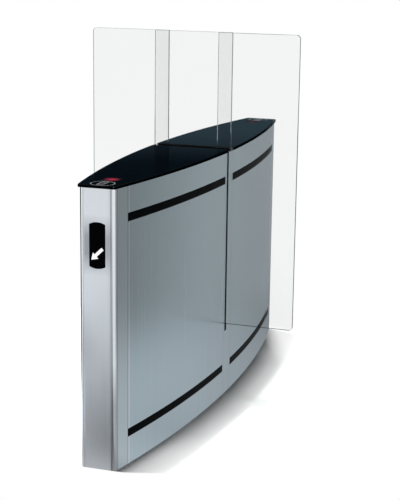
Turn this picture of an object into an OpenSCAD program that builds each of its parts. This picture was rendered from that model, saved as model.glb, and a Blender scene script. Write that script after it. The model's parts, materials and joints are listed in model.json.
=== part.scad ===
// Waist-high speed gate: a lens-shaped cabinet with two sliding glass leaves and a fixed glass screen.
// X runs across the lane, Y along the cabinet, Z up. The origin is on the floor under the centre.
// The cabinet looks the same after half a turn about Z, so every rear piece is a front piece turned.

/* [Cabinet] */
// Length of the cabinet between its two end faces
body_l = 1880; // [1400:10:2100]
// Width of the flat end faces
end_w = 126; // [100:1:160]
// Width across the middle
mid_w = 308; // [280:1:400]
// Height from the floor to the top of the black glass
body_h = 1000; // [830:5:1250]
// Thickness of the curved steel skins
skin_t = 2.5; // [2:0.1:4]

/* [End columns] */
// Length of a column's side returns
column_l = 79; // [60:1:100]
// Thickness of the end face
face_t = 4; // [3.5:0.1:6]
// Thickness of the side returns
return_t = 3; // [2.5:0.1:5]
// Radius of the rounded upright corners
corner_r = 9; // [5:0.5:12]
// Radius of the round grooves beside each corner
groove_r = 2.5; // [1:0.1:3]
// Distance from a corner to the middle of a groove
groove_in = 12.5; // [11:0.5:16]
// Open seam between a column and a panel
seam_gap = 2.5; // [1:0.1:4]

/* [Display] */
// Width of the black display window
display_w = 59; // [40:1:70]
// Height of the window in its middle
display_h = 160; // [120:1:190]
// Rise of the bowed top and bottom edges
display_bow = 7.5; // [3:0.5:10]
// Radius of the window's corners
display_r = 4; // [2:0.5:8]
// Distance from the top of the cabinet down to the window's middle
display_drop = 206; // [150:1:260]
// Depth of the window's face behind the column's face
display_set = 0.5; // [0:0.1:1.5]

/* [Side panels] */
// Depth of the lips folded inwards along the edges of panels and columns
lip_w = 14; // [8:1:20]
// Thickness of the folded lips
lip_t = 3; // [2:0.1:4]
// Height of the black sensor strips
window_h = 30; // [20:1:50]
// Distance from the top of the cabinet down to the middle of the upper strips
window_drop = 118; // [60:1:200]
// Height of the middle of the lower strips
window_low = 114; // [80:1:200]
// Steel left between a strip's end and the panel's inner edge
window_edge = 6.5; // [3:0.5:20]
// Width of the rim that holds a strip or display from behind
rim_w = 4; // [2:0.5:6]
// Thickness of that rim
rim_t = 2; // [1.5:0.1:4]

/* [Centre posts] */
// Width of the strip between the front and rear panels
post_w = 80; // [72:1:84]
// Joint between the strip and a panel
joint_gap = 1; // [0.5:0.1:2]
// Distance from the leaf's lower edge down to the end of its slot
slot_drop = 28; // [15:1:60]

/* [Top] */
// Thickness of the black glass
top_t = 10; // [6:0.5:15]
// Overhang of the black glass along the sides
top_side = 6; // [3:0.5:12]
// Overhang of the black glass at the ends
top_end = 10; // [2:0.5:20]
// Radius of the corners of the black glass
top_r = 10; // [5:0.5:20]
// Width of the polished arris round the black glass
top_arris = 1; // [0.5:0.1:2]
// Width of the gap across the top that the clear sheets stand in
gap_w = 64; // [60:1:90]
// Width of the trim's leg under the black glass
trim_leg = 14; // [8:1:20]
// Thickness of that leg
trim_t = 4; // [3:0.5:6]
// Distance that the trim stays inside the outline and below the face of the black glass
trim_set = 0.8; // [0.3:0.1:2]

/* [Clear sheets] */
// Thickness of the clear sheets
sheet_t = 10; // [8:0.5:12]
// Width of the polished arris round the clear sheets
sheet_arris = 0.8; // [0.4:0.1:1.5]
// Height of the sheets above the top of the cabinet
sheet_h = 450; // [200:1:700]
// Height of the leaves' lower edge
leaf_low = 293; // [250:1:400]
// Length of a leaf along its slide
leaf_w = 325; // [270:1:400]
// Length of leaf that stays inside the outline when the gate is shut
leaf_hold = 46; // [46:1:56]
// Radius of the leaves' outer corners
leaf_r = 15; // [5:1:30]
// Radius of the fixed screen's upper corners
screen_r = 4; // [2:1:20]
// Depth of the screen's tongue below the skins' top edge
tongue_h = 52; // [30:1:80]
// Thickness of the walls of the shoe round the tongue
shoe_t = 2.5; // [2:0.1:4]

/* [Frame] */
// Thickness of the base plate
base_t = 10; // [6:1:20]
// Radius of the floor anchor holes
anchor_r = 7; // [4:0.5:10]
// Distance between the anchor holes across the cabinet
anchor_x = 106; // [80:1:130]
// Distance from an end face to the anchor holes
anchor_end = 150; // [110:1:250]
// Length of the cable openings in the base plate
cable_l = 160; // [80:1:220]
// Width of the cable openings
cable_w = 100; // [60:1:130]
// Corner radius of the cable openings
cable_r = 12; // [4:1:25]
// Distance from the middle to a cable opening's centre
cable_y = 330; // [250:1:400]
// Thickness of the two cross walls
wall_t = 4; // [3:0.5:6]
// Distance from the middle to the near face of a cross wall
wall_y = 60; // [58:1:80]
// Width of the cross walls' foot and head flanges
flange_w = 26; // [15:1:40]
// Distance that the foot and head flanges end short of the skins
flange_in = 35; // [20:1:60]

/* [Leaf guides] */
// Width of the rails' foot and head
rail_h = 15; // [12:1:20]
// Width of the rails' waist
waist_h = 9; // [6:0.5:11]
// Depth of the rails' head
head_d = 9; // [6:0.5:11]
// Distance from the top of the cabinet down to the upper rails
rail_drop = 140; // [110:1:200]
// Distance from the leaf's lower edge up to the lower rails
rail_rise = 60; // [40:1:120]
// Height of a carriage block
block_h = 44; // [36:1:60]
// Thickness of a block in front of the rail's head
block_t = 8; // [5:0.5:9]
// Thickness of a block's claws behind the rail's head
claw_t = 4.5; // [3:0.5:5]
// Thickness of the clamp's outer jaw
jaw_t = 6; // [4:0.5:6]
// Thickness of the clamp's web behind the leaf's inner edge
web_t = 3; // [2.5:0.5:4]

/* [Fits] */
// Gap round a piece that seats in or on another
seat = 0.3; // [0.2:0.05:0.5]
// Gap that a moving sheet or clamp keeps from fixed pieces
clear = 5; // [5:0.5:6]

/* [Hidden] */
// Overlap that makes two shapes of one piece a single solid
fuse = 0.1;
// Height of a corner's round above the curved side beside it, so that the two cross cleanly
proud = 0.01;
arc_fn = 720;
half_l = body_l / 2;
sagitta = (mid_w - end_w) / 2;
side_r = (half_l * half_l + sagitta * sagitta) / (2 * sagitta);
side_cx = side_r - mid_w / 2;
inner_x = mid_w / 2 - skin_t;
under_glass = body_h - top_t;
skin_top = under_glass - seat;
seam_y = half_l - column_l;
panel_y = seam_y - seam_gap;
panel_in = post_w / 2 + joint_gap;
window_in = panel_in + window_edge;
frame_d = skin_t + seat;
wall_back = wall_y + wall_t;
display_z = body_h - display_drop;
sheet_pitch = sheet_t + seat + shoe_t + clear;
sheet_top = body_h + sheet_h;
slot_in = sheet_pitch - sheet_t / 2 - clear;
slot_w = sheet_t + 2 * clear;
slot_out = slot_in + slot_w;
slot_low = leaf_low - slot_drop;
trim_in = slot_out;
screen_w = mid_w + 2 * top_side;
tongue_w = 2 * (inner_x - clear);
shoe_x = inner_x - seat;
shoe_top = under_glass - 8;
shoe_low = under_glass - tongue_h - shoe_t;
leaf_in = mid_w / 2 - leaf_hold;
leaf_out = leaf_in + leaf_w;
clamp_in = sheet_pitch - sheet_t / 2 - seat;
clamp_out = sheet_pitch + sheet_t / 2 + seat;
clamp_x0 = leaf_in - seat - web_t;
clamp_x1 = inner_x - clear - seat;
clamp_low = leaf_low + 10;
clamp_top = shoe_low - clear - 10;
block_x0 = leaf_in - seat;
block_x1 = inner_x - 2 * clear;
block_y = clamp_out + jaw_t + seat;
head_y = block_y + block_t;
waist_y = head_y + head_d;
foot_y = waist_y + seat + claw_t + seat;
rail_x = inner_x - clear;

// ---- Shared shapes -----------------------------------------------------------------------------

// Half a turn about Z, which makes a rear or left piece of a front or right one
module turned() {
    rotate([0, 0, 180]) children();
}

// The lens between the two curved sides, moved in by d and cut to y0..y1
module lens(d, y0, y1) {
    intersection() {
        translate([-side_cx, 0]) circle(r = side_r - d, $fn = arc_fn);
        translate([side_cx, 0]) circle(r = side_r - d, $fn = arc_fn);
        translate([-mid_w, y0]) square([2 * mid_w, y1 - y0]);
    }
}

// A curved sheet on the +X side, from depth d0 to depth d1 below the outer face, cut to y0..y1
module side_sheet(d0, d1, y0, y1) {
    intersection() {
        difference() {
            translate([-side_cx, 0]) circle(r = side_r - d0, $fn = arc_fn);
            translate([-side_cx, 0]) circle(r = side_r - d1, $fn = arc_fn);
        }
        translate([0, y0]) square([mid_w, y1 - y0]);
    }
}

// The front of the lens grown by side and end, cut at y1, its two end corners rounded to r
module round_end(side, end, r, y1) {
    fy = half_l + end - r;
    fx = sqrt(pow(side_r + side - r + proud, 2) - fy * fy) - side_cx;
    normal = [fx + side_cx, -fy] / (side_r + side - r);
    reach = 3 * r;
    difference() {
        lens(-side, -half_l - end, y1);
        for (s = [1, -1])
            scale([s, 1]) translate([fx, -fy])
                polygon([[0, 0], [0, -reach], [reach, -reach], reach * normal]);
    }
    for (s = [1, -1]) translate([s * fx, -fy]) circle(r = r, $fn = 64);
}

// Points along an arc about c from angle a0 to a1 in n steps, less skip points at either end
function arc(c, r, a0, a1, n, skip = 0) =
    [for (i = [skip:n - skip]) let (a = a0 + (a1 - a0) * i / n) c + r * [cos(a), sin(a)]];

// A window outline with bowed top and bottom edges and round corners
module bowed_window(w, h, bow, r) {
    bow_r = (w * w / 4 + bow * bow) / (2 * bow);
    bow_y = h / 2 - bow_r;
    fx = w / 2 - r;
    fy = bow_y + sqrt(pow(bow_r - r, 2) - fx * fx);
    turn = atan2(fx, fy - bow_y);
    upper = concat(arc([fx, fy], r, 0, 90 - turn, 6),
                   arc([0, bow_y], bow_r, 90 - turn, 90 + turn, 16, 1),
                   arc([-fx, fy], r, 90 + turn, 180, 6));
    polygon(concat(upper, [for (p = upper) -p]));
}

// A rectangle with round corners
module round_rect(w, l, r) {
    square([w - 2 * r, l], center = true);
    square([w, l - 2 * r], center = true);
    for (x = [1, -1], y = [1, -1])
        translate([x * (w / 2 - r), y * (l / 2 - r)]) circle(r = r, $fn = 48);
}

// An upright glass sheet centred on y: its faces have the first outline, its edge the second
module glass_sheet(y) {
    translate([0, y + sheet_t / 2, 0]) rotate([90, 0, 0]) hull() {
        linear_extrude(sheet_t) children(0);
        translate([0, 0, sheet_arris]) linear_extrude(sheet_t - 2 * sheet_arris) children(1);
    }
}

// ---- Frame -------------------------------------------------------------------------------------

// The steel plate that the skins stand round, with floor anchors and two cable openings
module base_plate() {
    end_y = half_l - face_t - seat;
    side_end = end_y - corner_r;
    color("dimgray") difference() {
        linear_extrude(base_t) difference() {
            union() {
                lens(frame_d, -seam_y, seam_y);
                lens(return_t + seat, -side_end, side_end);
                square([end_w - 2 * (corner_r + return_t), 2 * end_y], center = true);
            }
            for (s = [1, -1]) {
                translate([0, s * cable_y]) round_rect(cable_w, cable_l, cable_r);
                scale([1, s]) lip_room();
            }
        }
        for (x = [1, -1], y = [1, -1])
            translate([x * anchor_x / 2, y * (half_l - anchor_end), -1])
                cylinder(h = base_t + 2, r = anchor_r, $fn = 48);
    }
}

// The notches in the base plate's edges for the folded lips on both sides of the rear seam
module lip_room() {
    y0 = panel_y - lip_t - seat;
    y1 = seam_y + lip_t + seat;
    difference() {
        translate([-mid_w, y0]) square([2 * mid_w, y1 - y0]);
        lens(return_t + lip_w + seat, y0 - 1, y1 + 1);
    }
}

// A folded steel wall across the cabinet: it backs the panels and carries the rails and the top
module cross_wall() {
    low = base_t + seat;
    flange_x = inner_x - flange_in;
    color("gainsboro") {
        translate([0, 0, low]) linear_extrude(skin_top - low) {
            lens(frame_d, -wall_back, -wall_y);
            for (s = [1, -1])
                scale([s, 1]) side_sheet(frame_d, frame_d + lip_t, -wall_y - fuse, -slot_out - clear - 1);
        }
        for (z = [low, skin_top - lip_t])
            translate([-flange_x, -wall_back - flange_w, z]) cube([2 * flange_x, flange_w + fuse, lip_t]);
    }
}

// ---- Skins -------------------------------------------------------------------------------------

// The extruded end column: end face, round corners with a groove on each side, returns and lips
module column() {
    side_y = -half_l + groove_in;
    side_x = sqrt(side_r * side_r - side_y * side_y) - side_cx;
    color("silver") difference() {
        linear_extrude(skin_top) {
            difference() {
                round_end(0, 0, corner_r, -seam_y);
                lens(return_t, -half_l + face_t, -seam_y + 1);
                for (s = [1, -1]) {
                    translate([s * (end_w / 2 - groove_in), -half_l]) circle(r = groove_r, $fn = 32);
                    translate([s * side_x, side_y]) circle(r = groove_r / 2, $fn = 32);
                }
            }
            difference() {
                lens(return_t - fuse, -seam_y - lip_t, -seam_y);
                lens(return_t + lip_w, -seam_y - lip_t - 1, -seam_y + 1);
            }
        }
        translate([0, -half_l + face_t + 1, display_z]) rotate([90, 0, 0])
            linear_extrude(face_t + 2) bowed_window(display_w, display_h, display_bow, display_r);
    }
}

// The black display: a window in the column's cut-out with a rim behind the face
module display() {
    rim_y = -half_l + face_t + seat;
    color("black") translate([0, rim_y, display_z]) rotate([90, 0, 0]) {
        translate([0, 0, -fuse]) linear_extrude(face_t + seat - display_set + fuse)
            bowed_window(display_w - 2 * seat, display_h - 2 * seat, display_bow, display_r - seat);
        translate([0, 0, -rim_t]) linear_extrude(rim_t)
            bowed_window(display_w + 2 * rim_w, display_h + 2 * rim_w, display_bow, display_r + rim_w);
    }
}

// Lower edge of the upper or the lower sensor strips
function window_z(upper) = (upper ? body_h - window_drop : window_low) - window_h / 2;

// The curved steel panel between the front column and the right centre post
module side_panel() {
    color("lightsteelblue") difference() {
        union() {
            linear_extrude(skin_top) {
                side_sheet(0, skin_t, -panel_y, -panel_in);
                side_sheet(skin_t - fuse, skin_t + lip_w, -panel_y, -panel_y + lip_t);
            }
            translate([0, 0, skin_top - lip_t]) linear_extrude(lip_t)
                side_sheet(skin_t - fuse, skin_t + lip_w, -panel_y, -wall_back - 1);
        }
        for (upper = [true, false])
            translate([0, 0, window_z(upper)]) linear_extrude(window_h)
                side_sheet(-1, skin_t + 2 * seat, -panel_y - 1, -window_in);
    }
}

// A black sensor strip, flush in the panel's cut-out, with a rim behind the panel
module sensor_window(upper) {
    rim_y0 = -panel_y + lip_t + seat;
    rim_y1 = -wall_back - 1;
    back = skin_t + seat + rim_t;
    color([0.03, 0.03, 0.035]) translate([0, 0, window_z(upper)]) {
        translate([0, 0, seat]) linear_extrude(window_h - 2 * seat) {
            side_sheet(0, skin_t, -panel_y, -window_in - seat);
            side_sheet(0, back, rim_y0, rim_y1);
        }
        translate([0, 0, -rim_w]) linear_extrude(window_h + 2 * rim_w)
            side_sheet(back - rim_t, back, rim_y0, rim_y1);
    }
}

// The strip between the panels, with the long open slot that the leaf slides through
module centre_post() {
    color("lightsteelblue") difference() {
        linear_extrude(skin_top) side_sheet(0, skin_t, -post_w / 2, post_w / 2);
        translate([0, -slot_out, slot_low + slot_w / 2]) cube([mid_w, slot_w, body_h]);
        translate([0, -sheet_pitch, slot_low + slot_w / 2]) rotate([0, 90, 0])
            cylinder(h = mid_w, r = slot_w / 2, $fn = 64);
    }
}

// ---- Top ---------------------------------------------------------------------------------------

// Half of the black glass top, with a narrow arris round its upper edge
module top_glass() {
    color([0.02, 0.03, 0.035]) translate([0, 0, under_glass]) hull() {
        linear_extrude(top_t - top_arris) round_end(top_side, top_end, top_r, -gap_w / 2);
        linear_extrude(top_t)
            round_end(top_side - top_arris, top_end - top_arris, top_r - top_arris,
                      -gap_w / 2 - top_arris);
    }
}

// The black angle along the glass's inner edge, which closes the gap's end beyond the leaf
module slot_trim() {
    y0 = -gap_w / 2 + seat;
    leg_x = inner_x - clear;
    color([0.05, 0.05, 0.055]) {
        translate([0, 0, under_glass]) linear_extrude(top_t - trim_set) {
            lens(trim_set - top_side, y0, -trim_in);
            difference() {
                lens(trim_set - top_side, y0, -sheet_t / 2 - seat);
                translate([-inner_x - seat, y0 - 1]) square([2 * mid_w, gap_w]);
            }
        }
        translate([-leg_x, y0 - trim_leg, skin_top - trim_t])
            cube([2 * leg_x, trim_leg - trim_in - y0, trim_t]);
        translate([-leg_x, y0, skin_top - trim_t]) cube([2 * leg_x, -trim_in - y0, trim_t + seat + fuse]);
    }
}

// ---- Fixed screen ------------------------------------------------------------------------------

// The wide part of the fixed screen, moved in by inset except along its lower edge
module screen_outline(inset) {
    fx = screen_w / 2 - screen_r;
    fz = sheet_top - screen_r;
    low = under_glass + seat;
    polygon(concat([[-screen_w / 2 + inset, low], [screen_w / 2 - inset, low]],
                   arc([fx, fz], screen_r - inset, 0, 90, 8),
                   arc([-fx, fz], screen_r - inset, 90, 180, 8)));
}

// The fixed screen: as wide as the top above it, with a narrower tongue down into its shoe
module screen_glass() {
    low = under_glass + seat - tongue_h;
    color([0.75, 0.9, 0.85, 0.4]) {
        glass_sheet(0) {
            screen_outline(sheet_arris);
            screen_outline(0);
        }
        translate([-tongue_w / 2, -sheet_t / 2, low]) cube([tongue_w, sheet_t, tongue_h + fuse]);
    }
}

// The steel channel that the tongue is bonded into, between the two centre posts
module screen_shoe() {
    half_t = sheet_t / 2 + seat;
    color("dimgray") difference() {
        translate([-shoe_x, -half_t - shoe_t, shoe_low])
            cube([2 * shoe_x, 2 * (half_t + shoe_t), shoe_top - shoe_low]);
        translate([-mid_w, -half_t, shoe_low + shoe_t]) cube([2 * mid_w, 2 * half_t, body_h]);
    }
}

// ---- Sliding leaves ----------------------------------------------------------------------------

// The right leaf's outline, moved in by inset
module leaf_outline(inset) {
    fx = leaf_out - leaf_r;
    polygon(concat([[leaf_in + inset, sheet_top - inset], [leaf_in + inset, leaf_low + inset]],
                   arc([fx, leaf_low + leaf_r], leaf_r - inset, -90, 0, 12),
                   arc([fx, sheet_top - leaf_r], leaf_r - inset, 0, 90, 12)));
}

// The right leaf, drawn shut: its outer corners are round
module leaf_glass() {
    color([0.75, 0.9, 0.85, 0.4]) glass_sheet(-sheet_pitch) {
        leaf_outline(sheet_arris);
        leaf_outline(0);
    }
}

// The aluminium clamp along the leaf's inner edge
module leaf_clamp() {
    inner_jaw = clamp_in - clear / 2 - seat;
    color("darkgray") difference() {
        translate([clamp_x0, -clamp_out - jaw_t, clamp_low])
            cube([clamp_x1 - clamp_x0, clamp_out + jaw_t - clamp_in + inner_jaw, clamp_top - clamp_low]);
        translate([block_x0, -clamp_out, clamp_low - 1])
            cube([mid_w, clamp_out - clamp_in, body_h]);
    }
}

// ---- Guides ------------------------------------------------------------------------------------

function rail_z(upper) = upper ? body_h - rail_drop : leaf_low + rail_rise;

// Draws a section given as [distance in front of the middle, height] along X from x0 to x1
module along_x(x0, x1, upper) {
    translate([x1, 0, rail_z(upper)]) rotate([90, 0, -90]) linear_extrude(x1 - x0) children();
}

// A rectangle from a to b, as high as h and centred on the height's zero
module band(a, b, h) {
    translate([a, -h / 2]) square([b - a, h]);
}

// The rail's head and waist, all grown by gap
module rail_head(gap) {
    band(head_y - gap, waist_y + gap, rail_h + 2 * gap);
    band(head_y, foot_y + fuse, waist_h + 2 * gap);
}

// A rail on the front cross wall
module rail(upper) {
    color("lightgray") along_x(-rail_x, rail_x, upper) {
        rail_head(0);
        band(foot_y, wall_y - seat, rail_h);
    }
}

// A carriage block that wraps the rail's head and carries the clamp
module leaf_block(upper) {
    color("gray") along_x(block_x0, block_x1, upper) difference() {
        band(block_y, foot_y - seat, block_h);
        rail_head(seat);
    }
}

base_plate();
column();  // front_column
turned() column();  // rear_column
display();  // front_display
turned() display();  // rear_display
side_panel();  // right_front_panel
mirror([0, 1, 0]) side_panel();  // right_rear_panel
mirror([1, 0, 0]) side_panel();  // left_front_panel
turned() side_panel();  // left_rear_panel
sensor_window(true);  // right_front_upper_window
sensor_window(false);  // right_front_lower_window
mirror([0, 1, 0]) sensor_window(true);  // right_rear_upper_window
mirror([0, 1, 0]) sensor_window(false);  // right_rear_lower_window
mirror([1, 0, 0]) sensor_window(true);  // left_front_upper_window
mirror([1, 0, 0]) sensor_window(false);  // left_front_lower_window
turned() sensor_window(true);  // left_rear_upper_window
turned() sensor_window(false);  // left_rear_lower_window
centre_post();  // right_centre_post
turned() centre_post();  // left_centre_post
cross_wall();  // front_cross_wall
turned() cross_wall();  // rear_cross_wall
top_glass();  // front_top_glass
turned() top_glass();  // rear_top_glass
slot_trim();  // front_slot_trim
turned() slot_trim();  // rear_slot_trim
screen_shoe();
screen_glass();
rail(true);  // front_upper_rail
rail(false);  // front_lower_rail
turned() rail(true);  // rear_upper_rail
turned() rail(false);  // rear_lower_rail
leaf_glass();  // right_leaf_glass
leaf_clamp();  // right_leaf_clamp
leaf_block(true);  // right_leaf_upper_block
leaf_block(false);  // right_leaf_lower_block
turned() leaf_glass();  // left_leaf_glass
turned() leaf_clamp();  // left_leaf_clamp
turned() leaf_block(true);  // left_leaf_upper_block
turned() leaf_block(false);  // left_leaf_lower_block
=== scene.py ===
"""Looks for the speed gate: materials for every CAD node, the lit display arrows, the reader marks and status
lights on the black glass, a pale floor, soft studio light and the camera. Lengths are metres."""

import json
import math

import bmesh
import bpy
from mathutils import Matrix, Vector

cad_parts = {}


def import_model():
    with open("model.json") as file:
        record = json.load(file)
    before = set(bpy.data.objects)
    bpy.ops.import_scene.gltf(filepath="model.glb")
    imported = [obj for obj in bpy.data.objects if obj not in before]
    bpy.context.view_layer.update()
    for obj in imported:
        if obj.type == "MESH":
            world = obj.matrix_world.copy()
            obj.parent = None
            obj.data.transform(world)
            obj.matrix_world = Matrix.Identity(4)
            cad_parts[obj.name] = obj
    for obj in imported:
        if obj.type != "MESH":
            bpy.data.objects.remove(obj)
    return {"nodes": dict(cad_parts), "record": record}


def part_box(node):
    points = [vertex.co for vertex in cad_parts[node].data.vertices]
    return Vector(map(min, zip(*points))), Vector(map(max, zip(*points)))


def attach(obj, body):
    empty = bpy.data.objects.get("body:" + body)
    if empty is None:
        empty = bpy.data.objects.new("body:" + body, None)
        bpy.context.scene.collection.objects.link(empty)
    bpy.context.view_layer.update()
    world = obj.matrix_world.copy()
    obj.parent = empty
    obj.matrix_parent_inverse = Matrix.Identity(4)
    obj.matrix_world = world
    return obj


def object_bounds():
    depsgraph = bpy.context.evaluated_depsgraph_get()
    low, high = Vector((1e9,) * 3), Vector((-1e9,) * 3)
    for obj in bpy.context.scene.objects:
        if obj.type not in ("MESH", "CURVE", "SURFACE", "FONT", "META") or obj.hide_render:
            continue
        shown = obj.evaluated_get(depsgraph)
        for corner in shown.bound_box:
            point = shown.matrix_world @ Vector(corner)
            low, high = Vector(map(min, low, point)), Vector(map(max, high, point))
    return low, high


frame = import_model()
cad_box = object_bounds()
scene = bpy.context.scene
scene.view_settings.view_transform = "Standard"
scene.view_settings.look = "None"

column_low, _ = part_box("front_column")
display_low, display_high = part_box("front_display")
top_low, top_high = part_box("front_top_glass")
leaf_low, leaf_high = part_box("right_leaf_glass")
HALF_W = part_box("right_centre_post")[1].x  # half the cabinet's width, in its middle
HALF_L = -column_low.y  # half the cabinet's length
PANEL_END = -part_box("right_front_panel")[0].y  # how far the side panels reach from the middle
NEAR_END = cad_box[0][1]  # y of the black glass's near end
TOP_Z = top_high.z


# ---- Node helpers ----------------------------------------------------------------------------------

MIX_A, MIX_B, MIX_RESULT = 6, 7, 2  # the colour sockets of a Mix node


class Tree:
    """A material's or world's node tree, with short calls to add and join nodes."""

    def __init__(self, owner):
        owner.use_nodes = True
        self.tree = owner.node_tree
        self.tree.nodes.clear()

    def add(self, kind, inputs=None, **settings):
        """A new node. Its inputs are numbers or other nodes' outputs, by the sockets' names or places."""
        node = self.tree.nodes.new("ShaderNode" + kind)
        for name, value in settings.items():
            setattr(node, name, value)
        for name, value in (inputs or {}).items():
            socket = node.inputs[name]
            if isinstance(value, bpy.types.NodeSocket):
                self.tree.links.new(value, socket)
            else:
                socket.default_value = value
        return node

    def maths(self, operation, first, *others):
        """The operation on one value, or on several from left to right."""
        result = first
        for other in others or (0.0,):
            result = self.add("Math", {0: result, 1: other}, operation=operation).outputs[0]
        return result

    def spread(self, value, low, high, start=0.3, end=0.7):
        """Maps value from start..end to low..high. Noise mostly lies between 0.3 and 0.7."""
        return self.add("MapRange", {"Value": value, "From Min": start, "From Max": end,
                                     "To Min": low, "To Max": high}).outputs["Result"]

    def fade(self, value, start, end):
        """0 where value is at start or before it, 1 at end or beyond. start may be the larger."""
        return self.spread(value, 0.0, 1.0, start, end)

    def inside(self, value, low, high):
        """1 where value lies between low and high, else 0."""
        middle = self.maths("ABSOLUTE", self.maths("SUBTRACT", value, (low + high) / 2))
        return self.maths("LESS_THAN", middle, (high - low) / 2)

    def length(self, vector):
        return self.add("VectorMath", {0: vector}, operation="LENGTH").outputs["Value"]

    def blend(self, factor, a, b):
        """Mixes colour a to colour b."""
        node = self.add("Mix", {"Factor": factor, MIX_A: a, MIX_B: b}, data_type="RGBA")
        return node.outputs[MIX_RESULT]

    def ramp(self, value, stops):
        """A colour ramp over value, with stops of (place, colour)."""
        node = self.add("ValToRGB", {"Fac": value})
        elements = node.color_ramp.elements
        while len(elements) < len(stops):
            elements.new(0.5)
        for element, (place, tone) in zip(elements, stops):
            element.position = place
            element.color = tone
        return node.outputs["Color"]

    def xyz(self, kind):
        """x, y and z of a texture coordinate. Object is the place in the CAD's frame, in metres."""
        coords = self.add("TexCoord").outputs[kind]
        parts = self.add("SeparateXYZ", {"Vector": coords}).outputs
        return parts["X"], parts["Y"], parts["Z"]

    def place_times(self, scale, offset=(0, 0, 0)):
        coords = self.add("TexCoord").outputs["Object"]
        return self.add("Mapping", {"Vector": coords, "Scale": scale, "Location": offset}).outputs[0]

    def noise(self, scale, detail=3.0, roughness=0.5, offset=(0, 0, 0)):
        """Noise with features about 1 / scale metres wide along each axis."""
        return self.add("TexNoise", {"Vector": self.place_times(scale, offset), "Scale": 1.0,
                                     "Detail": detail, "Roughness": roughness}).outputs["Fac"]

    def bump(self, height, strength, distance):
        return self.add("Bump", {"Height": height, "Strength": strength, "Distance": distance}).outputs[0]

    def mix_shaders(self, factor, a, b):
        return self.add("MixShader", {0: factor, 1: a.outputs[0], 2: b.outputs[0]})

    def surface(self, shader, output="OutputMaterial"):
        self.tree.links.new(shader.outputs[0], self.add(output).inputs["Surface"])


def new_material(name):
    material = bpy.data.materials.new(name)
    return material, Tree(material)


def colour(r, g, b):
    return (r, g, b, 1.0)


def grey(tone):
    return colour(tone, tone, tone)


def scaled(c, k):
    return colour(*(min(1.0, v * k) for v in c[:3]))


BLACK, WHITE = grey(0.0), grey(1.0)


def front_half(t):
    """A point's x, y and z and its normal's x, with the gate's rear half turned round onto the front half."""
    x, y, z = t.xyz("Object")
    facing = t.maths("SIGN", t.maths("MULTIPLY", y, -1.0))
    x, y, normal_x = (t.maths("MULTIPLY", value, facing) for value in (x, y, t.xyz("Normal")[0]))
    return x, y, z, normal_x


# ---- Metals ----------------------------------------------------------------------------------------

END_W = 0.126  # width of the columns at their end faces, round corners included
CORNER_W = 0.0096  # width of the columns' round corners
FACE_D = 0.004  # what lies within this of the end planes is the end face
GROOVE = (0.0098, 0.0152)  # from where to where a groove in the end face lies in from the side edge
GROOVE_STARTS = (0.009, 0.010)  # where the right corner's painted shade low down gives way to the groove's
RETURN_GROOVE = (CORNER_W, 0.0185)  # how far a groove in the side returns lies in from the end plane
FOLD_W = 0.009  # width of the panels' folded ends
SLOT_SHADE_SIDE, SLOT_SHADE_BELOW = 0.0068, 0.0295  # how far a slot's painted black shade reaches beside and below its leaf

# Brushed metal's noise, to the metre along x, y and z
HAIRLINES, STREAKS, CLOUDS = (900, 900, 7), (70, 70, 1.2), (2.4, 2.4, 1.8)

# Where the painted light and shades of a column's finish fade in, as (none, full). By how far a surface turns
# to a side
RETURN_TURN, LEFT_TURN = (0.90, 0.96), (-0.14, -0.32)
# By height
LEFT_DARK_Z, RIGHT_LOW_SHADE_Z = (0.12, 0.45), (0.385, 0.235)
BRIGHT_UPPER_Z, BRIGHT_LOWER_Z = (0.30, 0.10), (0.0, 0.12)
DARK_LOWER_Z, DARK_UPPER_Z = (0.33, 0.42), (0.60, 0.46)
# By the distance from the display's middle, from the side edge, and by x
DISPLAY_SHADE_Z, DISPLAY_SHADE_SIDE = (0.105, 0.030), (0.008, 0.019)
GROOVE_OUTER_SHADE, GROOVE_INNER_SHADE = (0.0055, 0.0095), (0.026, GROOVE[1])
LEFT_HALF = (0.03, -0.05)

# How strong the painted shades are, and the corners' polish
GROOVE_SHADE, BESIDE_GROOVE = 0.35, 0.45
RIGHT_LOW_SHADE, GROOVE_LOW_SHADE = 0.46, 0.75
HALF_WAY_SHADE = 0.17
DISPLAY_SHADE, DISPLAY_SHADE_LOSS = 0.53, 0.12  # the loss is on the right
CORNER_POLISH = 0.14  # how much less rough the corners are

STEEL = colour(0.53, 0.625, 0.67)
# Painted highlight along the panels' folded ends
FOLD_HIGHLIGHT = colour(0.72, 0.80, 0.84)
# Painted shade in and round the leaves' slots
SLOT_SHADE_BLACK = colour(0.006, 0.007, 0.008)
# Painted shade on the columns' side returns
RETURN_SHADE = colour(0.57, 0.645, 0.68)
# Painted highlight on the columns' polished round corners
CORNER_HIGHLIGHT = colour(0.90, 0.915, 0.93)
# Painted light on the end face
PAINTED_LIGHT = colour(0.97, 0.98, 1.0)
# The colours of painted shade
SHADED = colour(0.02, 0.025, 0.03)
BLUE_SHADED = colour(0.02, 0.025, 0.045)
# Painted shade on the left corners
LEFT_CORNER_SHADE = colour(0.01, 0.012, 0.014)


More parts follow.
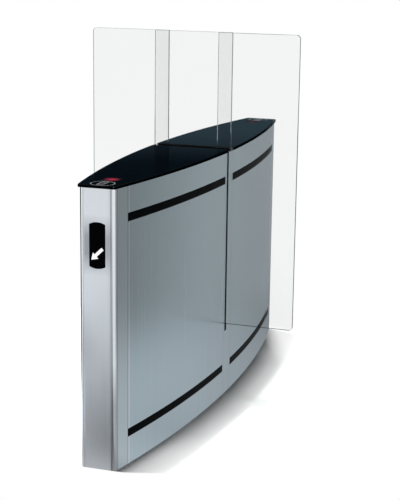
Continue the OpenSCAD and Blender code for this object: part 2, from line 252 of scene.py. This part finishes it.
def brushed_metal(name, base, rough, grain, anisotropy=0.0, finish=None):
    """Satin metal with upright hairlines: grain is how strongly they show. finish changes the colour and the
    roughness where a part's own finish differs, and paints light and shade on it."""
    material, t = new_material(name)
    hairline = t.noise(HAIRLINES, detail=4.0, roughness=0.6)
    streak = t.noise(STREAKS, detail=3.0, roughness=0.55, offset=(3, 1, 2))
    cloud = t.noise(CLOUDS, detail=2.0, offset=(7, 5, 1))
    tone = t.maths("MULTIPLY", t.maths("ADD", hairline, streak), 0.5)
    fine = t.blend(t.spread(tone, 0.0, 1.0), scaled(base, 1 - grain), scaled(base, 1 + grain))
    full = t.blend(t.spread(cloud, 0.0, 0.35), fine, scaled(base, 0.95))
    roughness = t.spread(tone, rough - 0.03, rough + 0.04)
    if finish:
        full, roughness = finish(t, full, roughness)
    t.surface(t.add("BsdfPrincipled", {
        "Base Color": full, "Metallic": 1.0, "Roughness": roughness, "Anisotropic": anisotropy,
        "Tangent": t.add("Tangent", direction_type="RADIAL", axis="Z").outputs[0],
        "Normal": t.bump(hairline, strength=0.06, distance=0.0002)}))
    return material


def column_finish_and_shade(t, full, roughness):
    """The end columns: polished round corners, with painted light and shade on the corners, side returns,
    grooves, end face and beside the display.
    """
    x, y, z, normal_x = front_half(t)
    side = t.maths("SUBTRACT", END_W / 2, t.maths("ABSOLUTE", x))  # how far in from the side edge's plane
    end = t.maths("ADD", y, HALF_L)  # how far in from the end plane
    right = t.maths("GREATER_THAN", x, 0.0)
    face = t.maths("LESS_THAN", end, FACE_D)
    corner = t.maths("LESS_THAN", t.maths("MAXIMUM", side, end), CORNER_W)
    # Painted shade: the side returns, which face sideways, take the panels' darker, bluer tone.
    full = t.blend(t.fade(t.maths("ABSOLUTE", normal_x), *RETURN_TURN), full, RETURN_SHADE)
    # The round corners are polished and less rough; their brighter colour is a painted highlight.
    full = t.blend(corner, full, CORNER_HIGHLIGHT)
    roughness = t.maths("SUBTRACT", roughness, t.maths("MULTIPLY", corner, CORNER_POLISH))

    # Painted shade: the left corners, which turn away from the light, are painted dark and made rougher,
    # except near the floor.
    turned_away = t.maths("MULTIPLY", t.fade(normal_x, *LEFT_TURN), corner, t.fade(z, *LEFT_DARK_Z))
    full = t.blend(turned_away, full, LEFT_CORNER_SHADE)
    roughness = t.maths("MAXIMUM", roughness, turned_away)

    full = column_groove_shade(t, full, z, side, end, right, face)
    full = end_face_painted_light(t, full, x, z, face)
    full = display_shade(t, full, z, side, right, face)
    return full, roughness


def column_groove_shade(t, full, z, side, end, right, face):
    """Painted shade in the grooves: beside the right corner, where it also fades out to both sides, and in
    the side returns. Low down, the right corner and its groove are painted darker, as shade."""
    beside = t.maths("MINIMUM", t.fade(side, *GROOVE_OUTER_SHADE), t.fade(side, *GROOVE_INNER_SHADE))
    in_face = t.maths("MAXIMUM", t.inside(side, *GROOVE), t.maths("MULTIPLY", beside, BESIDE_GROOVE))
    in_face = t.maths("MULTIPLY", in_face, right, face)
    shade = t.maths("MAXIMUM", in_face, t.inside(end, *RETURN_GROOVE))
    full = t.blend(t.maths("MULTIPLY", shade, GROOVE_SHADE), full, SHADED)

    edge = t.maths("MULTIPLY", t.maths("LESS_THAN", side, GROOVE[1]), t.maths("LESS_THAN", end, CORNER_W))
    share = t.spread(side, 1.0, GROOVE_LOW_SHADE, *GROOVE_STARTS)
    low_shade = t.maths("MULTIPLY", t.fade(z, *RIGHT_LOW_SHADE_Z), RIGHT_LOW_SHADE, share, edge, right)
    return t.blend(low_shade, full, SHADED)


def end_face_painted_light(t, full, x, z, face):
    """Painted light and shade: the flat end face is painted brighter low down in its left half, and darker
    half way up.
    """
    left_half = t.maths("MULTIPLY", t.fade(x, *LEFT_HALF), face)
    low_down = t.maths("MINIMUM", t.fade(z, *BRIGHT_UPPER_Z), t.fade(z, *BRIGHT_LOWER_Z))
    full = t.blend(t.maths("MULTIPLY", low_down, left_half), full, PAINTED_LIGHT)
    half_way = t.maths("MINIMUM", t.fade(z, *DARK_LOWER_Z), t.fade(z, *DARK_UPPER_Z))
    return t.blend(t.maths("MULTIPLY", half_way, HALF_WAY_SHADE, left_half), full, SHADED)


def display_shade(t, full, z, side, right, face):
    """A soft painted shade on both sides of the display."""
    from_middle = t.maths("ABSOLUTE", t.maths("SUBTRACT", z, (display_low.z + display_high.z) / 2))
    beside = t.maths("MULTIPLY", t.fade(side, *DISPLAY_SHADE_SIDE), face)
    strength = t.maths("SUBTRACT", DISPLAY_SHADE, t.maths("MULTIPLY", right, DISPLAY_SHADE_LOSS))
    shade = t.maths("MULTIPLY", t.fade(from_middle, *DISPLAY_SHADE_Z), beside, strength)
    return t.blend(shade, full, BLUE_SHADED)


def panel_highlight_and_shade(t, full, roughness):
    """A painted highlight where the panels fold in beside the columns, and painted black shade in and round
    the leaves' slots.
    """
    x, y, z = t.xyz("Object")
    # Painted highlight: a lighter line along the panels' folded ends.
    fold = t.inside(t.maths("ABSOLUTE", y), PANEL_END - FOLD_W, PANEL_END)
    full = t.blend(fold, full, FOLD_HIGHLIGHT)
    # Painted shade: the leaves' slots, and a band beside and below them, are painted black.
    leaf_y = (leaf_low.y + leaf_high.y) / 2
    from_leaf = t.maths("SUBTRACT", t.maths("MULTIPLY", y, t.maths("SIGN", x)), leaf_y)
    slot_shade_w = leaf_high.y - leaf_low.y + 2 * SLOT_SHADE_SIDE
    beside = t.maths("LESS_THAN", t.maths("ABSOLUTE", from_leaf), slot_shade_w / 2)
    slot_shade = t.maths("MULTIPLY", beside, t.maths("GREATER_THAN", z, leaf_low.z - SLOT_SHADE_BELOW))
    return t.blend(slot_shade, full, SLOT_SHADE_BLACK), roughness


def painted(name, base, rough, metallic=0.0, grain=900):
    """Paint or primer with a fine orange-peel surface."""
    material, t = new_material(name)
    peel = t.noise((grain, grain, grain), detail=2.0)
    patch = t.noise((6, 6, 6), detail=3.0, offset=(4, 4, 4))
    t.surface(t.add("BsdfPrincipled", {
        "Base Color": t.blend(t.spread(patch, 0.0, 1.0), scaled(base, 0.9), scaled(base, 1.1)),
        "Metallic": metallic, "Roughness": t.spread(peel, rough - 0.05, rough + 0.06),
        "Normal": t.bump(peel, strength=0.15, distance=0.0001)}))
    return material


# ---- Glass, lamps and print ------------------------------------------------------------------------

PANE_TONES = colour(0.905, 0.91, 0.907), colour(0.92, 0.922, 0.92)
EDGE_TONES = colour(0.28, 0.42, 0.36), colour(0.36, 0.50, 0.44)
# Painted shade on the leaves' lower edges
LOWER_EDGE_SHADE = colour(0.004, 0.006, 0.005)
# Painted reflection: the tones in which the black top mirrors the glass
MIRRORED_PANE, MIRRORED_EDGE = colour(0.45, 0.50, 0.50), colour(0.02, 0.03, 0.03)
RED_LEFT, RED_RIGHT = colour(0.42, 0.012, 0.070), colour(0.44, 0.022, 0.028)
BEVEL_R = 0.007  # how softly the black glass's edges catch the light
EDGE_ROUGH = 0.18  # the clear sheets' polished edges
LAMP_RIM = 0.86  # brightness between the small lamps of a sign
REAR_LOSS = 0.88  # how much dimmer the rear status light is


def black_glass(name, base, rough, ior, smear, gloss=0.5, matt_edges=False):
    """Glossy black glass or acrylic, with the faint unevenness of wiped glass in its gloss."""
    material, t = new_material(name)
    wipe = t.noise((9, 4, 9), detail=4.0, roughness=0.6)
    dust = t.noise((260, 260, 260), detail=2.0, offset=(1, 2, 3))
    tint = t.blend(t.spread(wipe, 0.0, 1.0), base, scaled(base, 1.35))
    unevenness = t.maths("ADD", t.maths("MULTIPLY", wipe, 0.7), t.maths("MULTIPLY", dust, 0.3))
    shader = t.add("BsdfPrincipled", {
        "Base Color": tint, "Roughness": t.spread(unevenness, rough, rough + smear), "IOR": ior,
        "Specular IOR Level": gloss, "Normal": t.add("Bevel", {"Radius": BEVEL_R}, samples=8).outputs[0]})
    if matt_edges:
        edge = t.maths("LESS_THAN", t.maths("ABSOLUTE", t.xyz("Normal")[2]), 0.5)
        shader = t.mix_shaders(edge, shader, t.add("BsdfDiffuse", {"Color": tint}))
    t.surface(shader)
    return material


def clear_glass(name):
    """Clear toughened glass with almost colourless faces and green polished edges. The leaves' lower edges
    are painted dark as shade, and what the black top mirrors of the glass is a painted, darker reflection."""
    material, t = new_material(name)
    height = t.xyz("Object")[2]
    _, normal_y, normal_z = t.xyz("Normal")
    face = t.maths("GREATER_THAN", t.maths("ABSOLUTE", normal_y), 0.9)
    level = t.maths("GREATER_THAN", t.maths("ABSOLUTE", normal_z), 0.5)
    under = t.maths("MULTIPLY", level, t.maths("LESS_THAN", height, TOP_Z))
    # Painted reflection: on reflected rays, the glass above the top takes darker tones.
    reflected = t.maths("GREATER_THAN", t.add("LightPath").outputs["Glossy Depth"], 0.5)
    mirrored = t.maths("MULTIPLY", reflected, t.maths("GREATER_THAN", height, TOP_Z))
    pane = t.blend(t.spread(t.noise((3, 3, 2)), 0.0, 1.0), *PANE_TONES)
    pane = t.blend(mirrored, pane, MIRRORED_PANE)
    edge = t.blend(t.spread(t.noise((60, 60, 60)), 0.0, 1.0), *EDGE_TONES)
    # Painted shade: the leaves' lower edges are dark.
    edge = t.blend(under, edge, LOWER_EDGE_SHADE)
    edge = t.blend(mirrored, edge, MIRRORED_EDGE)
    glass = t.add("BsdfPrincipled", {
        "Base Color": t.blend(face, edge, pane), "IOR": 1.5, "Transmission Weight": 1.0,
        "Roughness": t.spread(t.maths("MAXIMUM", face, under), EDGE_ROUGH, 0.0, 0.0, 1.0)})
    lets_light = t.add("BsdfTransparent", {"Color": colour(0.9, 0.92, 0.91)})
    t.surface(t.mix_shaders(t.add("LightPath").outputs["Is Shadow Ray"], glass, lets_light))
    return material


def led(name, base, strength, pitch):
    """A lit sign behind its lens: a grid of small lamps, each a little brighter in its middle."""
    material, t = new_material(name)
    grid = t.place_times((1 / pitch, 1 / pitch, 1 / pitch))
    cells = t.add("TexVoronoi", {"Vector": grid, "Scale": 1.0, "Randomness": 0.0})
    glow = t.spread(cells.outputs["Distance"], 1.0, LAMP_RIM, 0.0, 0.7)
    t.surface(t.add("BsdfPrincipled", {
        "Base Color": scaled(base, 0.5), "Roughness": 0.35,
        "Emission Color": t.blend(glow, BLACK, base), "Emission Strength": strength}))
    return material


def print_ink(name, base):
    """White print on the glass, slightly uneven in cover."""
    material, t = new_material(name)
    cover = t.noise((700, 700, 700), detail=2.0)
    t.surface(t.add("BsdfPrincipled", {
        "Base Color": t.blend(t.spread(cover, 0.0, 1.0), scaled(base, 0.8), base), "Roughness": 0.45}))
    return material


def status_red(name, centre, half_x, half_y):
    """A red lamp under the glass that is brightest in its middle and fades to its ends. The one at the rear,
    over the lane it does not serve, is dim."""
    material, t = new_material(name)
    x, y, _, _ = front_half(t)
    across = t.maths("DIVIDE", t.maths("SUBTRACT", x, centre[0]), half_x)
    along = t.maths("DIVIDE", t.maths("SUBTRACT", y, centre[1]), half_y)
    reach = t.length(t.add("CombineXYZ", {"X": across, "Y": along}).outputs[0])
    glow = t.fade(reach, 1.0, 0.15)
    flicker = t.spread(t.noise((220, 220, 220)), 0.85, 1.1)
    rear = t.maths("GREATER_THAN", t.xyz("Object")[1], 0.0)
    lit = t.maths("MULTIPLY", glow, flicker, t.maths("SUBTRACT", 1.0, t.maths("MULTIPLY", rear, REAR_LOSS)))
    tint = t.blend(t.fade(across, -0.6, 0.6), RED_LEFT, RED_RIGHT)
    t.surface(t.add("BsdfPrincipled", {
        "Base Color": colour(0.004, 0.001, 0.002), "Roughness": 0.2,
        "Emission Color": t.blend(lit, BLACK, tint), "Emission Strength": 1.0}))
    return material


def finish_nodes():
    """Gives every CAD node the material of its slot."""
    slots = {
        "brushed_steel": brushed_metal("brushed_steel", STEEL, rough=0.24, grain=0.05, anisotropy=0.5,
                                       finish=panel_highlight_and_shade),
        "aluminium": brushed_metal("aluminium", colour(0.80, 0.82, 0.845), rough=0.30, grain=0.025,
                                   anisotropy=0.3, finish=column_finish_and_shade),
        "rail_steel": brushed_metal("rail_steel", colour(0.65, 0.66, 0.68), rough=0.3, grain=0.04),
        "black_glass": black_glass("black_glass", colour(0.0006, 0.001, 0.0015), rough=0.015, ior=1.5,
                                   smear=0.02, matt_edges=True),
        "black_lens": black_glass("black_lens", colour(0.0014, 0.0016, 0.002), rough=0.3, ior=1.45,
                                  smear=0.05, gloss=0.01),
        "black_trim": painted("black_trim", colour(0.012, 0.013, 0.015), rough=0.38, grain=1200),
        "dark_steel": painted("dark_steel", colour(0.20, 0.21, 0.22), rough=0.5, metallic=0.3),
        "clear_glass": clear_glass("clear_glass"),
    }
    for part in frame["record"]["subparts"]:
        node = frame["nodes"][part["node"]]
        node.data.materials.clear()
        node.data.materials.append(slots[part["material_slot"]])


# ---- Marks on the glass ----------------------------------------------------------------------------

PRINT = 0.00012  # thickness of a printed or lit mark
READER_AT = (0.006, top_low.y + 0.0438)
RING_R, RING_LINE = 0.0412, 0.0014  # the reader mark's ring: its radius and the width of its line
CARD_W, CARD_H, CARD_R, CARD_LINE = 0.023, 0.052, 0.003, 0.0018  # the card in it, and its line's width
CARD_AT = (-0.0015, 0.009)
STRIPE_W, STRIPE_H, STRIPE_R = 0.0012, 0.024, 0.0005
STRIPE_AT = (-0.0005, 0.010)
WAVE_R, WAVE_LINE, WAVE_FROM, WAVE_TO = 0.0135, 0.0018, 200, 320  # from and to are degrees
WAVE_AT = (0.0, -0.0165)
LIGHT_AT = (0.005, top_low.y + 0.125)
LIGHT_X, LIGHT_Y, LIGHT_R = 0.029, 0.030, 0.004  # half sizes of a status light, and its corners' radius
ARROW_L, SHAFT_W, HEAD_W, HEAD_L = 0.0575, 0.0110, 0.0285, 0.0225
ARROW_TIP = (-0.0224, TOP_Z - 0.2562)  # x and z
ARROW_SLOPE = 44  # degrees
LAMP_PITCH = 0.0026  # between the small lamps of the arrow


def polar(r, degrees, cx=0.0, cy=0.0):
    return (cx + r * math.cos(math.radians(degrees)), cy + r * math.sin(math.radians(degrees)))


def circle(r, n=96):
    return [polar(r, 360 * k / n) for k in range(n)]


def rounded(w, h, r, n=6):
    """A rectangle's outline with round corners, about the origin."""
    corners = ((w / 2 - r, h / 2 - r, 0), (r - w / 2, h / 2 - r, 90), (r - w / 2, r - h / 2, 180),
               (w / 2 - r, r - h / 2, 270))
    return [polar(r, start + 90 * k / n, cx, cy) for cx, cy, start in corners for k in range(n + 1)]


def wave(r, width, start, end, n=14):
    """The outline of an arc band of radius r with round ends."""
    step = (end - start) / n
    outer = [polar(r + width / 2, start + step * k) for k in range(n + 1)]
    inner = [polar(r - width / 2, end - step * k) for k in range(n + 1)]
    end_cap = [polar(width / 2, end + turn, *polar(r, end)) for turn in (45, 90, 135)]
    start_cap = [polar(width / 2, start + turn, *polar(r, start)) for turn in (225, 270, 315)]
    return outer + end_cap + inner + start_cap


def moved(points, dx, dy):
    return [(x + dx, y + dy) for x, y in points]


def turned(points, degrees):
    c, s = polar(1.0, degrees)
    return [(x * c - y * s, x * s + y * c) for x, y in points]


def band(bm, outer, inner):
    """A closed band between two outlines of as many points, as thick as print."""
    rows = [[bm.verts.new((x, y, z)) for x, y in line] for line in (outer, inner) for z in (0, PRINT)]
    outer_low, outer_high, inner_low, inner_high = rows
    for k in range(len(outer)):
        j = (k + 1) % len(outer)
        bm.faces.new((outer_low[k], outer_low[j], outer_high[j], outer_high[k]))
        bm.faces.new((inner_low[j], inner_low[k], inner_high[k], inner_high[j]))
        bm.faces.new((outer_high[k], outer_high[j], inner_high[j], inner_high[k]))
        bm.faces.new((outer_low[j], outer_low[k], inner_low[k], inner_low[j]))


def plate(bm, outline):
    """A flat plate with that outline, as thick as print."""
    low, high = ([bm.verts.new((x, y, z)) for x, y in outline] for z in (0, PRINT))
    bm.faces.new(list(reversed(low)))
    bm.faces.new(high)
    for k in range(len(outline)):
        j = (k + 1) % len(outline)
        bm.faces.new((low[k], low[j], high[j], high[k]))


def add_pair(name, bm, place, material):
    """Makes the piece at the front, then its copy half a turn on, both riding on the cabinet."""
    bmesh.ops.recalc_face_normals(bm, faces=bm.faces)
    for end, turn in (("front", 0.0), ("rear", math.pi)):
        mesh = bpy.data.meshes.new(f"{end}_{name}")
        bm.to_mesh(mesh)
        mesh.transform(Matrix.Rotation(turn, 4, "Z") @ place)
        mesh.materials.append(material)
        piece = bpy.data.objects.new(f"{end}_{name}", mesh)
        scene.collection.objects.link(piece)
        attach(piece, "cabinet")
    bm.free()


def reader_mark():
    """A ring round an upright card with its stripe, over the wave of a contactless reader."""
    bm = bmesh.new()
    band(bm, circle(RING_R), circle(RING_R - RING_LINE))
    card_outer = rounded(CARD_W, CARD_H, CARD_R)
    card_inner = rounded(CARD_W - 2 * CARD_LINE, CARD_H - 2 * CARD_LINE, CARD_R - CARD_LINE)
    band(bm, moved(card_outer, *CARD_AT), moved(card_inner, *CARD_AT))
    plate(bm, moved(rounded(STRIPE_W, STRIPE_H, STRIPE_R), *STRIPE_AT))
    plate(bm, moved(wave(WAVE_R, WAVE_LINE, WAVE_FROM, WAVE_TO), *WAVE_AT))
    ink = print_ink("white_ink", colour(0.62, 0.63, 0.63))
    add_pair("reader_mark", bm, Matrix.Translation((*READER_AT, TOP_Z)), ink)


def status_light():
    """The rounded square over the red lamp, beside the reader mark."""
    bm = bmesh.new()
    plate(bm, rounded(2 * LIGHT_X, 2 * LIGHT_Y, LIGHT_R))
    red = status_red("status_red", LIGHT_AT, LIGHT_X, LIGHT_Y)
    add_pair("status_light", bm, Matrix.Translation((*LIGHT_AT, TOP_Z)), red)


def arrow():
    """The lit arrow in the display, pointing down to the near lane."""
    outline = [(0, 0), (HEAD_L, -HEAD_W / 2), (HEAD_L, -SHAFT_W / 2), (ARROW_L, -SHAFT_W / 2),
               (ARROW_L, SHAFT_W / 2), (HEAD_L, SHAFT_W / 2), (HEAD_L, HEAD_W / 2)]
    bm = bmesh.new()
    plate(bm, turned(outline, ARROW_SLOPE))
    upright = Matrix.Rotation(math.radians(90), 4, "X")
    at = Matrix.Translation((ARROW_TIP[0], display_low.y, ARROW_TIP[1]))
    lamps = led("white_led", colour(0.86, 0.85, 0.85), 1.0, LAMP_PITCH)
    add_pair("arrow", bm, at @ upright, lamps)


# ---- Stage -----------------------------------------------------------------------------------------

AZIMUTH, ELEVATION, ROLL = math.radians(19.21), math.radians(-12.97), math.radians(0.74)
CAMERA_AT = (1.7477, -4.9127, 1.7802)
LENS, SENSOR = 95.70, 36.0  # millimetres
FLOOR_R = 6.0
FLOOR_DROP = 0.0005  # how far the floor lies under the gate, so that their faces don't meet
FOOT_CURVE = (HALF_W - END_W / 2) / HALF_L ** 2  # the cabinet's side is at x = HALF_W - FOOT_CURVE * y * y
SOFTBOX_Z, SOFTBOX_TURN, SOFTBOX_W = 24, 154.5, 0.8  # height, turn in degrees, and width of the soft lights

REACH_SCALE = (0.62, 0.5, 0)  # a floor point's reach is its distance from the middle, scaled so
PALE = grey(0.9)
BESIDE_SHADOW = grey(0.65), grey(0.79)  # painted shadow beside the right side, at the foot and further away
BESIDE_FRONT_Y, BESIDE_REAR_Y = (-0.45, -0.2), (0.58, 0.42)  # where that begins and ends
BESIDE_W = 0.08  # how wide it is
# Where the seen floor turns white, painting light over its shadow near the gate, as (none, full), by:
WHITE_REACH = (0.65, 1.1)
WHITE_AHEAD = (-0.908, -0.925)  # how far a point lies ahead of the middle, as the camera looks
WHITE_FRONT = 0.009  # how far behind the glass's near end it starts
WHITE_REAR_Y = (0.93, 1.0)
WHITE_AWAY = (0.175, 0.205)  # how far a point is from the foot of the right side
# Painted light: partly white over the shadow beside the front, and beyond a slanting line at the rear
FRONT_SIDE_Y, FRONT_SIDE_AWAY, FRONT_SIDE_WHITE = (-0.5, -0.7), (0.01, 0.06), 0.3
REAR_LINE_Y, REAR_LINE_END, REAR_LINE_SLOPE = 0.85, 0.95, 0.48
REAR_LINE_X, REAR_WHITE = (0.045, 0.14), 0.7

# What the metal mirrors of the floor: beside the gate, to its left, to its right and out in front
NEAR_SCALE = (6.5, 1.06, 0)
NEAR_RANGE, NEAR_TONES = (1.2, 4.5), (colour(0.65, 0.67, 0.69), colour(0.56, 0.585, 0.605))
LEFT_RANGE, LEFT_TONE = (-0.4, 1.2), colour(0.34, 0.36, 0.375)
# A painted shadow on the mirrored floor beside the gate's right side
RIGHT_SHADE_X, RIGHT_SHADE_Y, RIGHT_SHADE = (0.55, 0.15), (-0.8, -0.5), 0.2
BEYOND_REACH = (0.55, 0.92)
FRONT_TURN = math.radians(22.7)
FRONT_RANGE = (-0.2, 0.8)
FRONT_Y, FRONT_BEYOND_Y = (-0.8, -1.2), (-1.6, -5.4)

AROUND_TINT = (0.97, 1.0, 1.02)
AROUND = ((-180, 0.15), (-163, 0.3), (-150, 1.1), (-130, 1.0), (-111, 0.86), (-92, 0.84), (-75, 0.85),
          (-30, 0.95), (0, 0.8), (20, 0.4), (44, 0.17), (50, 0.30), (58, 0.41), (68, 0.51), (78, 0.38),
          (100, 0.35), (110, 0.2), (130, 0.2), (150, 0.12), (180, 0.12))  # degrees from +X, tone
FRONT_TINT = (0.94, 1.0, 1.06)
# On the floor in front, from its left to its right: place along the ramp, tone
FRONT = ((0.0, 1.5), (0.2, 1.5), (0.40, 0.29), (0.53, 0.25), (0.62, 0.18), (0.70, 0.30), (0.86, 0.75))
# Over the horizon, by the sine of the angle above it: place, colour
OVERHEAD = ((0.0, (0.058, 0.102, 0.128)), (0.138, (0.049, 0.085, 0.107)), (0.15, (0.035, 0.055, 0.075)),
            (0.158, (0.0085, 0.019, 0.03)), (0.175, (0.005, 0.011, 0.02)), (0.21, (0.003, 0.005, 0.009)),
            (0.35, (0.02, 0.022, 0.025)), (0.6, (0.12, 0.12, 0.12)), (1.0, (0.15, 0.15, 0.15)))


def direct(t):
    """1 on rays that come from the camera without a reflection on the way, through any glass, else 0."""
    path = t.add("LightPath")
    bounces = t.maths("ADD", path.outputs["Glossy Depth"], path.outputs["Diffuse Depth"])
    return t.maths("LESS_THAN", bounces, 0.5)


def tinted(stops, tint):
    """Ramp stops from (place, tone) pairs, each tone times the tint."""
    return [(place, colour(*(tone * part for part in tint))) for place, tone in stops]


def around(t, x, y):
    """What stands round the gate, by compass direction: the tone that its metal mirrors."""
    turn = t.fade(t.maths("ARCTAN2", y, x), -math.pi, math.pi)
    return t.ramp(turn, tinted([((degrees + 180) / 360, tone) for degrees, tone in AROUND], AROUND_TINT))


def floor():
    """A round floor, with one look for the camera and one for what the metal mirrors."""
    bm = bmesh.new()
    bmesh.ops.create_circle(bm, cap_ends=True, segments=96, radius=FLOOR_R)
    mesh = bpy.data.meshes.new("floor")
    bm.to_mesh(mesh)
    bm.free()
    obj = bpy.data.objects.new("floor", mesh)
    obj.location = (0, 0, -FLOOR_DROP)
    scene.collection.objects.link(obj)
    material, t = new_material("floor")
    x, y, _ = t.xyz("Object")
    reach = t.length(t.place_times(REACH_SCALE))
    t.surface(t.mix_shaders(direct(t), mirrored_floor(t, x, y, reach), seen_floor(t, x, y, reach)))
    mesh.materials.append(material)


def seen_floor(t, x, y, reach):
    """Pale near the gate, where it takes its shadow, and plain white further out. Beside the middle of the
    right side a painted shadow makes it a little darker, and the white mixed in over the shadow near the gate
    is painted light."""
    foot = t.maths("SUBTRACT", HALF_W, t.maths("MULTIPLY", y, y, FOOT_CURVE))
    away = t.maths("SUBTRACT", x, foot)
    middle = t.maths("MULTIPLY", t.fade(y, *BESIDE_FRONT_Y), t.fade(y, *BESIDE_REAR_Y))
    middle = t.maths("MULTIPLY", middle, t.maths("GREATER_THAN", x, 0.0))
    shadow_tone = t.blend(t.fade(away, 0.0, BESIDE_W), *BESIDE_SHADOW)
    lit = t.add("BsdfDiffuse", {"Color": t.blend(middle, PALE, shadow_tone)})
    white = t.add("Emission", {"Color": WHITE, "Strength": 1.0})

    ahead = t.maths("MULTIPLY", y, math.cos(AZIMUTH))
    ahead = t.maths("SUBTRACT", ahead, t.maths("MULTIPLY", x, math.sin(AZIMUTH)))
    past_line = t.maths("MULTIPLY", t.maths("SUBTRACT", t.maths("MINIMUM", y, REAR_LINE_END), REAR_LINE_Y),
                        REAR_LINE_SLOPE)
    rear = t.fade(t.maths("ADD", x, past_line), *REAR_LINE_X)
    front_side = t.maths("MULTIPLY", t.fade(y, *FRONT_SIDE_Y), t.fade(away, *FRONT_SIDE_AWAY))
    # Painted light: white mixed in over the floor's shadow where it should end
    white_over_shadow = (
        t.fade(reach, *WHITE_REACH),
        t.fade(ahead, *WHITE_AHEAD),
        t.maths("LESS_THAN", y, NEAR_END + WHITE_FRONT),
        t.fade(y, *WHITE_REAR_Y),
        t.fade(away, *WHITE_AWAY),
        t.maths("MULTIPLY", rear, REAR_WHITE),
        t.maths("MULTIPLY", front_side, FRONT_SIDE_WHITE),
    )
    return t.mix_shaders(t.maths("MAXIMUM", *white_over_shadow), lit, white)


def mirrored_floor(t, x, y, reach):
    """Mid grey beside the gate, with a painted shadow beside its right side. Out in front it is bright on the
    left and darker on the right.
    """
    beyond = around(t, x, t.maths("SUBTRACT", y, NEAR_END))
    beside = t.blend(t.fade(t.length(t.place_times(NEAR_SCALE)), *NEAR_RANGE), *NEAR_TONES)
    beside = t.blend(t.fade(t.maths("SUBTRACT", y, x), *LEFT_RANGE), beside, LEFT_TONE)
    shade = t.maths("MULTIPLY", t.fade(x, *RIGHT_SHADE_X), t.fade(y, *RIGHT_SHADE_Y), RIGHT_SHADE)
    beside = t.blend(shade, beside, BLACK)
    beside = t.blend(t.fade(reach, *BEYOND_REACH), beside, beyond)
    across = t.maths("MULTIPLY", x, math.cos(FRONT_TURN))
    across = t.maths("SUBTRACT", across, t.maths("MULTIPLY", y, math.sin(FRONT_TURN)))
    front = t.ramp(t.fade(across, *FRONT_RANGE), tinted(FRONT, FRONT_TINT))
    front = t.blend(t.fade(y, *FRONT_BEYOND_Y), front, beyond)
    return t.add("Emission", {"Color": t.blend(t.fade(y, *FRONT_Y), beside, front)})


def world():
    """White where the camera sees it. For light and reflections, a studio: dark over the horizon, soft light
    overhead, and its surroundings below the horizon."""
    studio = bpy.data.worlds.new("studio")
    scene.world = studio
    t = Tree(studio)
    x, y, z = t.xyz("Generated")
    overhead = t.ramp(z, [(place, colour(*tone)) for place, tone in OVERHEAD])
    tones = t.blend(t.fade(z, -0.01, 0.01), around(t, x, y), overhead)
    mirrored = t.add("Background", {"Color": tones})
    white = t.add("Background", {"Color": WHITE})
    t.surface(t.mix_shaders(direct(t), mirrored, white), "OutputWorld")


def softbox(name, x, y, length, power):
    """A soft light high overhead that shines straight down."""
    data = bpy.data.lights.new(name, "AREA")
    data.shape = "RECTANGLE"
    data.size, data.size_y = length, SOFTBOX_W
    data.energy = power
    obj = bpy.data.objects.new(name, data)
    obj.location = (x, y, SOFTBOX_Z)
    obj.rotation_euler = (0, 0, math.radians(SOFTBOX_TURN))
    scene.collection.objects.link(obj)


def camera():
    """The camera at the photograph's angle: distance, direction and lens come from the gate's known edges."""
    data = bpy.data.cameras.new("camera")
    data.lens = LENS
    data.sensor_width = SENSOR
    data.clip_end = 100.0
    obj = bpy.data.objects.new("camera", data)
    forward = Vector((-math.sin(AZIMUTH) * math.cos(ELEVATION), math.cos(AZIMUTH) * math.cos(ELEVATION),
                      math.sin(ELEVATION)))
    right = forward.cross(Vector((0, 0, 1))).normalized()
    up = right.cross(forward)
    x = right * math.cos(ROLL) + up * math.sin(ROLL)
    y = up * math.cos(ROLL) - right * math.sin(ROLL)
    obj.matrix_world = Matrix.Translation(CAMERA_AT) @ Matrix((x, y, -forward)).transposed().to_4x4()
    scene.collection.objects.link(obj)
    scene.camera = obj


finish_nodes()
reader_mark()
status_light()
arrow()
floor()
world()
softbox("overhead", x=-1.29, y=1.19, length=3.20, power=4400)
softbox("overhead_edge", x=-2.97, y=1.99, length=0.52, power=2650)
camera()
